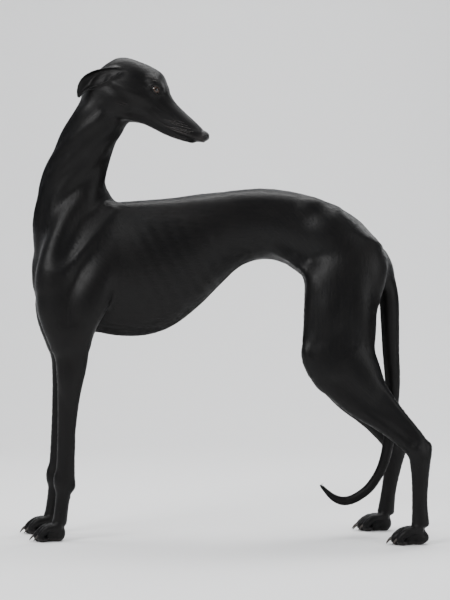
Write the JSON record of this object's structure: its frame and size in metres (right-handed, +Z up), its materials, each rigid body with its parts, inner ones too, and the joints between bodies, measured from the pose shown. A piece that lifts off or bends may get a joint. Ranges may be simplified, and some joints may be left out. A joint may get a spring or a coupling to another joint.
{
  "type": "greyhound",
  "caption": "Life-size still model of a short-coated black greyhound, standing, with its head turned back over the left shoulder.",
  "frame": {"origin": "on the floor, under the middle of the whole figure's box", "axes": "+Z up, +X from the chest to the tail, so the dog faces -X; its left side is towards -Y and its head looks back towards +X"},
  "size_m": [0.8727, 0.2632, 1.0123],
  "materials": {
    "coat": "short smooth glossy black hair",
    "nose": "moist finely grained black nose leather",
    "eye": "wet dark brown eye"
  },
  "bodies": {
    "root": {"torso": "coat", "neck": "coat", "tail_root": "coat", "tail_middle": "coat", "tail_tip": "coat", "foreleg_left_upper": "coat", "foreleg_left_forearm": "coat", "foreleg_left_pastern": "coat", "foreleg_left_paw": "coat", "foreleg_right_upper": "coat", "foreleg_right_forearm": "coat", "foreleg_right_pastern": "coat", "foreleg_right_paw": "coat", "hindleg_left_thigh": "coat", "hindleg_left_shank": "coat", "hindleg_left_pastern": "coat", "hindleg_left_paw": "coat", "hindleg_right_thigh": "coat", "hindleg_right_shank": "coat", "hindleg_right_pastern": "coat", "hindleg_right_paw": "coat", "head": "coat", "nose": "nose", "eye_left": "eye", "eye_right": "eye", "ear_left": "coat", "ear_right": "coat"}
  },
  "joints": []
}
